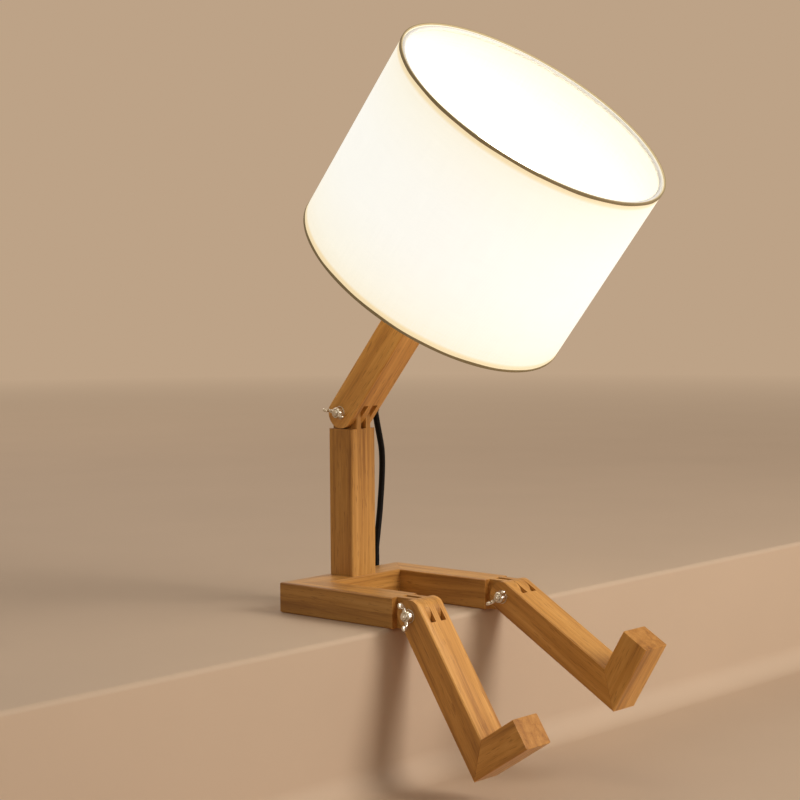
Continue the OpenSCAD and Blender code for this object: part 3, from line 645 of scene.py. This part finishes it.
nickel = surfaced("brightNickel", (0.64, 0.61, 0.54), (0.82, 0.79, 0.71), 0.16, 0.30, 260, 0.12, 0.00003,
                  Metallic=1.0)
zinc = surfaced("screwZinc", (0.42, 0.41, 0.38), (0.62, 0.61, 0.58), 0.28, 0.5, 300, 0.2, 0.00006,
                Metallic=1.0)
brassMetal = surfaced("plugBrass", (0.66, 0.48, 0.20), (0.84, 0.66, 0.34), 0.16, 0.34, 280, 0.15, 0.00005,
                      Metallic=1.0)
capMetal = surfaced("capAluminium", (0.60, 0.60, 0.59), (0.80, 0.80, 0.79), 0.22, 0.42, 300, 0.2, 0.00006,
                    Metallic=1.0)
blackPlastic = surfaced("holderPlastic", (0.012, 0.012, 0.013), (0.026, 0.025, 0.025), 0.34, 0.50, 900,
                        0.35, 0.00008, Specular_IOR_Level=0.45)
cordPlastic = surfaced("flexPlastic", (0.0018, 0.0017, 0.0018), (0.0050, 0.0048, 0.0048), 0.40, 0.56, 700,
                       0.30, 0.00010, Specular_IOR_Level=0.14)
porcelain = surfaced("holderPorcelain", (0.74, 0.73, 0.69), (0.84, 0.83, 0.80), 0.12, 0.22, 120,
                     0.1, 0.0001, Coat_Weight=0.4, Coat_Roughness=0.08)
whiteCoat = surfaced("whitePowderCoat", (0.72, 0.71, 0.67), (0.82, 0.81, 0.77), 0.38, 0.52, 1400,
                     0.5, 0.00012)

boltValues = {
    "radius": 0.0025, "headRadius": 0.006, "headHeight": 0.0028, "headRim": 0.0005, "square": 0.003,
    "washer": 0.0008, "past": 0.007, # length past the washer
    "threaded": 0.0150, "pitch": 0.0008, "depth": 0.00036, "runOut": 0.002,
}
nutValues = {
    "bore": 0.00256, "hub": 0.0046, "hubTop": 0.0037, "hubHeight": 0.005, "span": 0.021, "height": 0.009,
    "wingRoot": 0.0028, "wingTip": 0.0023,       # thickness of a leaf
    "leafRoot": 0.0021, "leaf": 0.0024,          # its half height at the root and at the tip
    "leafWaist": 0.0007,                         # by how much that thins between them
}


# Turns a shape made about +Z so that its axis runs along +X through a centre.
def alongX(points, centre):
    p = np.asarray(points, float)
    return np.stack([p[..., 2], p[..., 1], -p[..., 0]], -1) + centre


# Coach bolt: domed head, square neck and a shank whose last stretch is a helix, r = radius - depth
# * |triangle wave of (height / pitch - angle / turn)|.
def makeBolt(name, centre, width, tilt, nodeName):
    v = boltValues
    head = width / 2
    t = np.linspace(0, 1, 12)
    dome = np.stack([v["headRadius"] * np.sin(t * math.pi / 2) ** 0.85,
                     head + v["headRim"] + (v["headHeight"] - v["headRim"]) * np.cos(t * math.pi / 2)], -1)
    dome[0, 0] = nearAxis
    headPart = revolve(np.vstack([dome, [[v["headRadius"], head], [nearAxis, head]]]), 40)
    square = v["radius"] * np.array([[1, 1], [-1, 1], [-1, -1], [1, -1]])
    neckPart = cappedGrid(np.stack([np.column_stack([square, np.full(4, z)])
                                    for z in (head - v["square"], head + 0.0001)]))
    endAt = -head - v["washer"] - v["past"]
    heights = np.linspace(endAt, head - v["square"] / 2, 220)
    angle = fullTurn(20)
    wave = np.abs(((heights[:, None] / v["pitch"] - angle[None, :] / tau) % 1) * 2 - 1)
    runOut = np.clip((endAt + v["threaded"] - heights) / v["runOut"], 0, 1)[:, None]
    tip = np.clip((heights - endAt) / 0.0008, 0.55, 1)[:, None]
    radius = (v["radius"] - v["depth"] * wave * runOut) * tip
    shank = np.stack(np.broadcast_arrays(radius * np.cos(angle), radius * np.sin(angle),
                                         heights[:, None]), -1)
    turned = turnX(tilt)
    parts = [(alongX(p, 0) @ turned.T + centre, f) for p, f in (headPart, neckPart, cappedGrid(shank))]
    piece = makePiece(name, parts, smooth=40)
    return dress(standIn(piece, nodeName), nickel)


# Wing nut: a revolved hub, and two leaves lofted along a rising curve. A leaf's section is a
# superellipse; its half height thins from the root to a stalk, swells and closes like a circle.
def makeWingNut(name, centre, width, turn, nodeName):
    v = nutValues
    hub = np.array([
        [v["bore"], 0], [v["hub"] - 0.0003, 0], [v["hub"], 0.0003], [v["hub"] - 0.00015, 0.0016],
        [v["hubTop"] + 0.0002, v["hubHeight"] - 0.0008], [v["hubTop"] - 0.0004, v["hubHeight"] - 0.0001],
        [v["hubTop"] - 0.001, v["hubHeight"]], [0.0028, v["hubHeight"]],
        [v["bore"], v["hubHeight"] - 0.0003]])
    parts = [revolve(hub, 40)]
    u = np.linspace(0, 1, 30)
    bend = np.array([[0.0034, 0.0030], [0.0072, 0.0030],
                     [v["span"] / 2 - v["leaf"], v["height"] - v["leaf"]]])
    b = np.stack([(1 - u) ** 2, 2 * u * (1 - u), u ** 2], -1) @ bend
    tangent = unitRows(np.gradient(b, axis=0))
    # the leaf ends in a round of its own half height past the curve's end
    extra = np.sin(np.linspace(0, math.pi / 2, 10))[1:]
    b = np.vstack([b, b[-1] + v["leaf"] * extra[:, None] * tangent[-1]])
    tangent = np.vstack([tangent, np.repeat(tangent[-1:], 9, 0)])
    rise = np.stack([-tangent[:, 1], tangent[:, 0]], -1)
    half = v["leafRoot"] + (v["leaf"] - v["leafRoot"]) * u ** 3
    half = np.concatenate([half - v["leafWaist"] * np.sin(math.pi * u ** 0.85),
                           v["leaf"] * np.sqrt(np.maximum(1 - extra ** 2, 0.0004))])
    thick = np.concatenate([(v["wingRoot"] + (v["wingTip"] - v["wingRoot"]) * u) / 2,
                            v["wingTip"] / 2 * np.sqrt(np.maximum(1 - extra ** 6, 0.01))])
    tall, deep = squaredRound(fullTurn(20), 3)
    up, across = half[:, None] * tall, thick[:, None] * deep
    out = b[:, :1] + up * rise[:, :1]
    high = np.clip(b[:, 1:] + up * rise[:, 1:], 0.0004, v["height"])
    for side in (1, -1):
        parts.append(cappedGrid(np.stack([across, side * out, high], -1)))
    turned = turnX(turn)
    seat = -width / 2 - boltValues["washer"]

    def place(points):
        # nut height runs along -X from its seat; the wings lie along +Y before they are turned
        p = np.asarray(points, float)
        return np.stack([seat - p[..., 2], p[..., 1], p[..., 0]], -1) @ turned.T + centre

    piece = makePiece(name, [(place(p), f) for p, f in parts], smooth=45)
    return dress(standIn(piece, nodeName), nickel)


postWidth, armWidth = 0.026, 0.027
makeBolt("neckBolt", neckAxis, postWidth, neckTilt, "neck_bolt")
makeBolt("rightHipBolt", rightHip, armWidth, rightLean, "right_hip_bolt")
makeBolt("leftHipBolt", leftHip, armWidth, leftLean, "left_hip_bolt")
makeWingNut("neckWingNut", neckAxis, postWidth, math.radians(14), "neck_wing_nut")
makeWingNut("rightWingNut", rightHip, armWidth, math.radians(77.5), "right_wing_nut")
makeWingNut("leftWingNut", leftHip, armWidth, math.radians(-35), "left_wing_nut")
for node in ("neck_washer", "right_hip_washer", "left_hip_washer"):
    dress(roundedCopy(node, pieceName(node), edgeValues["washer"]), nickel)
dress(frame["nodes"]["post_screws"], zinc)
dress(frame["nodes"]["holder_nipple"], zinc)
print("hardware made")


for node in ("holder_cap", "holder_shell", "shade_ring_nut", "switch_knob"):
    dress(roundedCopy(node, pieceName(node), edgeValues["holder"]), blackPlastic)
for node, material in (("holder_core", porcelain), ("holder_contact", brassMetal),
                       ("bulb_cap", capMetal), ("plug_blades", brassMetal),
                       ("cord_gland", cordPlastic), ("inner_lead", cordPlastic),
                       ("fitter_ring", whiteCoat), ("shade_spider", whiteCoat),
                       ("bottom_ring", whiteCoat), ("top_ring", whiteCoat)):
    dress(frame["nodes"][node], material)
for piece in (flex, plug):
    dress(piece, cordPlastic)

bulbValues = {
    "foot": 0.174, "neckRadius": 0.0126, "globeRadius": 0.030, "globeMiddle": 0.2265,
    "hollow": 0.022,                 # radius of the curve from neck to globe
    "ease": 0.0006, "glow": (1.0, 0.86, 0.62), "strength": 6.0,
}


# Frosted bulb: a straight neck, a hollow curve that meets the globe tangent, and the globe's arc.
def makeBulb(v):
    reach = v["neckRadius"] + v["hollow"]
    drop = math.sqrt((v["globeRadius"] + v["hollow"]) ** 2 - reach ** 2)
    meet = math.atan2(drop, reach)
    a = np.linspace(math.pi, math.pi - meet, 14)
    curve = np.stack([reach + v["hollow"] * np.cos(a),
                      v["globeMiddle"] - drop + v["hollow"] * np.sin(a)], -1)
    a = np.linspace(-meet, math.pi / 2, 40)[1:]
    globe = np.stack([v["globeRadius"] * np.cos(a), v["globeMiddle"] + v["globeRadius"] * np.sin(a)], -1)
    globe[-1, 0] = nearAxis
    foot = np.array([[nearAxis, v["foot"]], [v["neckRadius"] - v["ease"], v["foot"]],
                     [v["neckRadius"], v["foot"] + v["ease"]]])
    piece = makePiece("bulbGlass", [revolve(np.vstack([foot, curve, globe]), 72, fromNeck)], smooth=50)
    return standIn(piece, "bulb_globe")


# Distance from the point at a height on the shade's axis.
def distanceFrom(add, coords, height):
    middle = fromNeck([[0, 0, height]])[0]
    return add("VectorMath", {0: coords, 1: tuple(middle)}, operation="DISTANCE").outputs["Value"]


# Frosted glass, lit: the glow drops a little towards the neck, by distance from the globe's middle.
def makeBulbMaterial(v):
    material, add, shader = newMaterial("litFrostedGlass")
    coords = add("TexCoord").outputs["Object"]
    away = mapped(add, distanceFrom(add, coords, v["globeMiddle"]), 0.028, 0.052)
    feed(shader, "Emission Color", ramp(add, away, [(0, (*v["glow"], 1)),
                                                    (1, (*(0.5 * c for c in v["glow"]), 1))]))
    frost = add("TexNoise", {"Vector": coords, "Scale": 900.0, "Detail": 2.0}).outputs["Fac"]
    feed(shader, "Roughness", mapped(add, frost, 0.3, 0.7, 0.35, 0.5))
    feed(shader, "Base Color", ramp(add, frost, [(0.3, (0.84, 0.82, 0.78, 1)),
                                                 (0.7, (0.90, 0.88, 0.85, 1))]))
    bumped(add, shader, frost, 0.2, 0.00005)
    setSockets(shader, Emission_Strength=v["strength"])
    return material


dress(makeBulb(bulbValues), makeBulbMaterial(bulbValues))
print("lampholder and bulb dressed")


shadeValues = {
    "radius": 0.106, "wall": 0.001, "low": 0.131, "high": 0.281, "rimInside": 0.0005,
    "around": 180, "rows": 25,
    "seamWidth": 0.009, "seamRise": 0.00025, "seamStep": 0.0006,
    "thread": 0.00062,               # width of one thread of the cloth
    "tapeHeight": 0.0022, "tapeThick": 0.00035, "tapeWaver": 0.00012,
    "outerGlow": 0.84, "innerGlow": 0.90, "hem": 0.0055,
    "glowMiddle": 0.208,             # height of the brightest belt
}


# Surface turned about the shade's axis: radius[i, j] and height[i, j] at angle i. Its UV is metres
# round and up.
def drumPiece(name, angle, radius, height, smooth):
    points = fromNeck(ringsAbout(radius, height, angle)).reshape(-1, 3)
    uv = np.stack(np.broadcast_arrays((angle * shadeValues["radius"])[:, None], height), -1)
    faces = gridFaces(*radius.shape, closeRows=True)
    return makePiece(name, [(points, faces)], smooth=smooth, uv=uv.reshape(-1, 2))


# Drum wall: rows of the closed outline, outer face up and inner face down, turned about the axis. A
# lapped seam at the back stands proud by a smooth step.
def makeShade(v):
    rows = v["rows"]
    angle = fullTurn(v["around"])
    heights = np.linspace(v["low"] + v["rimInside"], v["high"] - v["rimInside"], rows)
    across = np.repeat([v["radius"], v["radius"] - v["wall"]], rows)
    arc = ((angle - math.pi / 2 + math.pi) % tau - math.pi) * v["radius"]
    step = np.clip((v["seamWidth"] / 2 - np.abs(arc)) / v["seamStep"] + 0.5, 0, 1)
    radius = across + v["seamRise"] * step[:, None] * (np.arange(2 * rows) < rows)
    piece = drumPiece("shadeCloth", angle, radius, np.concatenate([heights, heights[::-1]]), 60)
    # the last column of faces joins the two ends of the cloth, so its UV goes on past the first column
    mesh = piece.data
    layer = mesh.uv_layers["uv"].data
    flat = np.empty(len(layer) * 2, np.float32)
    layer.foreach_get("uv", flat)
    corners = flat.reshape(-1, 4, 2)
    full = tau * v["radius"]
    wrapped = (corners[:, :, 0].max(1) - corners[:, :, 0].min(1)) > full / 2
    corners[..., 0] += full * (wrapped[:, None] & (corners[..., 0] < full / 2))
    layer.foreach_set("uv", corners.ravel())
    return standIn(piece, "shade_fabric")


# Plain weave on a UV map in metres: warp and weft are two sines at right angles that pass over and
# under each other, and each thread's thickness drifts, which gives the cloth its slubs.
def makeWeaveGroup():
    group, given, put = socketed("plainWeave", [
        ("Vector", "Vector", None), ("Thread", "Float", 0.0006), ("Slub", "Float", 1.0)],
        [("Height", "Float"), ("Shade", "Float")])
    add = nodeMaker(group)
    parts = add("SeparateXYZ", {"Vector": given.outputs["Vector"]})

    def wave(value, phase):
        moved = sums(add, "ADD", sums(add, "DIVIDE", value, given.outputs["Thread"]), phase)
        return sums(add, "SINE", sums(add, "MULTIPLY", moved, math.pi))

    product = sums(add, "MULTIPLY", wave(parts.outputs["X"], 0.0), wave(parts.outputs["Y"], 0.5))
    streakUp = noise(add, given.outputs["Vector"], (1500, 30, 1), Detail=2.0)
    streakRound = noise(add, given.outputs["Vector"], (30, 1500, 1), Detail=2.0)
    slub = sums(add, "MULTIPLY", sums(add, "ADD", streakUp, streakRound), given.outputs["Slub"])
    group.links.new(sums(add, "ADD", product, slub), put.inputs["Height"])
    group.links.new(mapped(add, slub, 0.7, 1.3), put.inputs["Shade"])
    return group


weaveGroup = makeWeaveGroup()


# Distance from the shade's axis: the length of the offset from the pivot crossed with the axis.
def fromShadeAxis(add):
    coords = add("TexCoord").outputs["Object"]
    offset = add("VectorMath", {0: coords, 1: tuple(neckAxis)}, operation="SUBTRACT").outputs["Vector"]
    crossed = add("VectorMath", {0: offset, 1: tuple(neckAlong)}, operation="CROSS_PRODUCT")
    return add("VectorMath", {0: crossed.outputs["Vector"]}, operation="LENGTH").outputs["Value"]


# 0 on the faces that look at the bulb and 1 on those that look away from it.
def outsideShare(add):
    radius, wall = shadeValues["radius"], shadeValues["wall"]
    return mapped(add, fromShadeAxis(add), radius - 0.7 * wall, radius - 0.3 * wall)


# Lit cloth. The glow falls with distance from the middle of the brightest belt and is stronger inside;
# outside it carries the threads' streaks.
def makeShadeMaterial(v):
    material, add, shader = newMaterial("litShadeCloth")
    tex = add("TexCoord")
    coords, uv = tex.outputs["Object"], tex.outputs["UV"]
    weave = add("Group", {"Vector": uv, "Thread": v["thread"]}, node_tree=weaveGroup)
    streak = weave.outputs["Shade"]
    feed(shader, "Base Color", ramp(add, streak, [(0.0, (0.34, 0.33, 0.29, 1)),
                                                  (1.0, (0.41, 0.40, 0.36, 1))]))
    near = mapped(add, distanceFrom(add, coords, v["glowMiddle"]), 0.107, 0.132, 1.0, 0.0)
    outer = ramp(add, near, [(0.0, (0.98, 0.89, 0.68, 1)), (0.45, (1.0, 0.97, 0.84, 1)),
                             (1.0, (1.0, 1.0, 0.94, 1))])
    inner = ramp(add, near, [(0.0, (0.85, 0.74, 0.52, 1)), (1.0, (1.0, 0.95, 0.82, 1))])
    # the cloth is doubled at its two hems, which are darker by a soft step in the height along the axis
    up = add("SeparateXYZ", {"Vector": uv}).outputs["Y"]
    hemLow = mapped(add, up, v["low"] + v["hem"] - 0.001, v["low"] + v["hem"] + 0.001, 1.0, 0.0)
    hemHigh = mapped(add, up, v["high"] - v["hem"] - 0.001, v["high"] - v["hem"] + 0.001)
    hemShare = sums(add, "MAXIMUM", hemLow, hemHigh)
    hemmed = mixedColours(add, hemShare, outer, (0.94, 0.80, 0.58, 1), "MULTIPLY")
    threadTone = ramp(add, streak, [(0.0, (0.55, 0.5, 0.42, 1)), (1.0, (1, 1, 1, 1))])
    threads = mixedColours(add, 0.06, hemmed, threadTone, "MULTIPLY")
    share = v["outerGlow"] / v["innerGlow"]
    dimmed = mixedColours(add, 1.0, threads, (share, share, share, 1), "MULTIPLY")
    feed(shader, "Emission Color", mixedColours(add, outsideShare(add), inner, dimmed))
    setSockets(shader, Emission_Strength=v["innerGlow"], Roughness=0.85, Sheen_Weight=0.15)
    bumped(add, shader, weave.outputs["Height"], 0.3, 0.00008)
    return material


dress(makeShade(shadeValues), makeShadeMaterial(shadeValues))


# Tape folded over a rim: a hook-shaped outline turned about the axis. Its hem waves very slightly.
def makeTape(name, nodeName, edge, inwards):
    v = shadeValues
    angle = fullTurn(v["around"])
    out, wall = v["radius"] + v["tapeThick"], v["radius"] - v["wall"]
    outline = np.array([
        [v["radius"] + 0.00004, -v["tapeHeight"]], [out - 0.0001, -v["tapeHeight"]],
        [out, -v["tapeHeight"] + 0.0001], [out, -0.0005], [out - 0.0001, -0.0002], [out - 0.0003, 0],
        [wall + 0.0001, 0], [wall - 0.00008, -0.0001], [wall - 0.00008, -v["rimInside"] - 0.0004],
        [wall - 0.00004, -v["rimInside"] - 0.0004], [wall - 0.00004, -v["rimInside"] + 0.00004],
        [v["radius"] + 0.00004, -v["rimInside"] + 0.00004]])
    hem = np.array([1, 1, 1, 0, 0, 0, 0, 0, 0, 0, 0, 0])
    wavy = v["tapeWaver"] * (np.sin(angle * 7) + np.sin(angle * 17 + 1.3))
    height = edge + inwards * (outline[:, 1] + hem * wavy[:, None])
    radius = np.broadcast_to(outline[:, 0], height.shape)
    piece = drumPiece(name, angle, radius, height, 40)
    return standIn(piece, nodeName)


# Tan woven tape, warmed by the light that comes through the cloth under it.
def makeTapeMaterial():
    material, add, shader = newMaterial("tanTape")
    uv = add("TexCoord").outputs["UV"]
    weave = add("Group", {"Vector": uv, "Thread": 0.0005}, node_tree=weaveGroup)
    feed(shader, "Base Color", ramp(add, weave.outputs["Shade"],
                                    [(0.0, (0.19, 0.140, 0.062, 1)), (1.0, (0.28, 0.205, 0.100, 1))]))
    # the side that faces the bulb is flooded with its light, the other only warmed
    feed(shader, "Emission Color", ramp(add, outsideShare(add), [(0.0, (0.56, 0.43, 0.23, 1)),
                                                                 (1.0, (0.07, 0.055, 0.029, 1))]))
    setSockets(shader, Emission_Strength=0.75, Roughness=0.8)
    bumped(add, shader, weave.outputs["Height"], 0.5, 0.0001)
    return material


tapeMaterial = makeTapeMaterial()
dress(makeTape("topTape", "top_trim", shadeValues["high"], 1), tapeMaterial)
dress(makeTape("bottomTape", "bottom_trim", shadeValues["low"], -1), tapeMaterial)


# Hook and loop strap: a fuzzy ripple of fine loops.
def makeTieMaterial():
    material, add, shader = newMaterial("strapLoops")
    coords = add("TexCoord").outputs["Object"]
    loops = add("TexVoronoi", {"Vector": coords, "Scale": 1400.0}).outputs["Distance"]
    feed(shader, "Base Color", ramp(add, loops, [(0.0, (0.012, 0.012, 0.013, 1)),
                                                 (0.8, (0.045, 0.045, 0.048, 1))]))
    setSockets(shader, Roughness=0.9, Sheen_Weight=0.3)
    bumped(add, shader, loops, 0.8, 0.0003)
    return material


dress(cordTie, makeTieMaterial())
print("shade made")


stageValues = {
    "low": -0.115, "edge": -0.096,       # the front part's level, and where the step up to the seat is
    "reach": 12.0,                       # half of the floor's width and depth
    "round": 0.004, "foot": 0.02,        # radii of the step's edge and of its foot
    "colour": (0.54, 0.39, 0.265), "sky": (0.51, 0.365, 0.242), "skyLight": 0.36,
    "fade": (1.2, 3.2),                  # from here to there the floor takes on the backdrop's colour
}


# Pale matt paint with a faint cloud. Far from the lamp it fades into the backdrop's colour.
def makeFloorMaterial(v):
    material, add, shader = newMaterial("palePaint")
    coords = add("TexCoord").outputs["Object"]
    cloud = add("TexNoise", {"Vector": coords, "Scale": 7.0, "Detail": 3.0}).outputs["Fac"]
    feed(shader, "Base Color", ramp(add, cloud, [(0.3, (*(0.97 * c for c in v["colour"]), 1)),
                                                 (0.7, (*v["colour"], 1))]))
    setSockets(shader, Roughness=0.75)
    tree = material.node_tree
    away = add("VectorMath", {0: coords}, operation="LENGTH").outputs["Value"]
    glow = add("Emission", {"Color": (*v["sky"], 1), "Strength": 1.0})
    mix = add("MixShader", {"Fac": mapped(add, away, *v["fade"])})
    tree.links.new(shader.outputs["BSDF"], mix.inputs[1])
    tree.links.new(glow.outputs["Emission"], mix.inputs[2])
    tree.links.new(mix.outputs["Shader"], tree.nodes["Material Output"].inputs["Surface"])
    return material


# Floor with one step across its whole width: a profile in y and z, with a quarter circle at the step's
# edge and a hollow one at its foot, carried along x. Its far points are spaced by a power.
def makeFloor(v):
    top = seatPlane - 0.0001
    far = np.linspace(0, 1, 14) ** 2.2 * v["reach"]
    turn = np.linspace(0, math.pi / 2, 9)
    front = v["edge"] - v["foot"] - far[:0:-1]
    hollow = np.stack([v["edge"] - v["foot"] * (1 - np.sin(turn)),
                       v["low"] + v["foot"] * (1 - np.cos(turn))], -1)
    edge = np.stack([v["edge"] + v["round"] * (1 - np.cos(turn)),
                     top - v["round"] * (1 - np.sin(turn))], -1)
    back = v["edge"] + v["round"] + far[1:]
    profile = np.vstack([np.stack([front, np.full_like(front, v["low"])], -1), hollow, edge,
                         np.stack([back, np.full_like(back, top)], -1)])
    across = np.concatenate([-far[:0:-1], far])
    grid = np.stack(np.broadcast_arrays(across[:, None], profile[:, 0], profile[:, 1]), -1)
    faces = gridFaces(*grid.shape[:2], closeCols=False)
    floor = makePiece("floor", [(grid.reshape(-1, 3), faces)], smooth=50)
    if floor.data.polygons[0].normal.z < 0:
        floor.data.flip_normals()
    return dress(floor, makeFloorMaterial(v))


floor = makeFloor(stageValues)


# The sky lights the lamp evenly, and behind it shows the backdrop's flat colour.
def makeWorld(v):
    world = bpy.data.worlds.new("studio")
    bpy.context.scene.world = world
    world.use_nodes = True
    tree = world.node_tree
    tree.nodes.clear()
    add = nodeMaker(tree)
    path = add("LightPath")
    light = add("Background", {"Color": (1.0, 0.96, 0.90, 1), "Strength": v["skyLight"]})
    seen = add("Background", {"Color": (*v["sky"], 1), "Strength": 1.0})
    anySeen = sums(add, "MAXIMUM", path.outputs["Is Camera Ray"], path.outputs["Is Glossy Ray"])
    anySeen = sums(add, "MAXIMUM", anySeen, path.outputs["Is Transmission Ray"])
    mix = add("MixShader", {"Fac": anySeen})
    tree.links.new(light.outputs["Background"], mix.inputs[1])
    tree.links.new(seen.outputs["Background"], mix.inputs[2])
    out = add("OutputWorld")
    tree.links.new(mix.outputs["Shader"], out.inputs["Surface"])


makeWorld(stageValues)

lightValues = {
    # name: (place, aim, size, watts, colour)
    "key": ((0.7, -1.8, 1.25), (0, -0.05, 0.1), 1.0, 28.0, (1.0, 0.98, 0.95)),
    "fill": ((-1.9, -0.5, 0.9), (0, 0, 0.15), 1.4, 1.5, (1.0, 0.95, 0.88)),
    "back": ((0.8, 1.7, 1.4), (0, 0, 0.2), 1.4, 8.0, (1.0, 0.95, 0.88)),
    "low": ((0.5, -2.6, 0.38), (0, -0.05, 0.16), 0.8, 10.0, (1.0, 0.98, 0.95)),
}


def makeLight(name, place, aim, size, watts, colour):
    data = bpy.data.lights.new(name, "AREA")
    data.shape, data.size, data.energy, data.color = "SQUARE", size, watts, colour
    light = bpy.data.objects.new(name, data)
    light.location = place
    light.rotation_euler = (Vector(aim) - Vector(place)).to_track_quat("-Z", "Y").to_euler()
    light.visible_camera = False
    bpy.context.scene.collection.objects.link(light)


for name, values in lightValues.items():
    makeLight(name, *values)
bpy.context.scene.view_settings.view_transform = "Standard"
print("stage and light set")
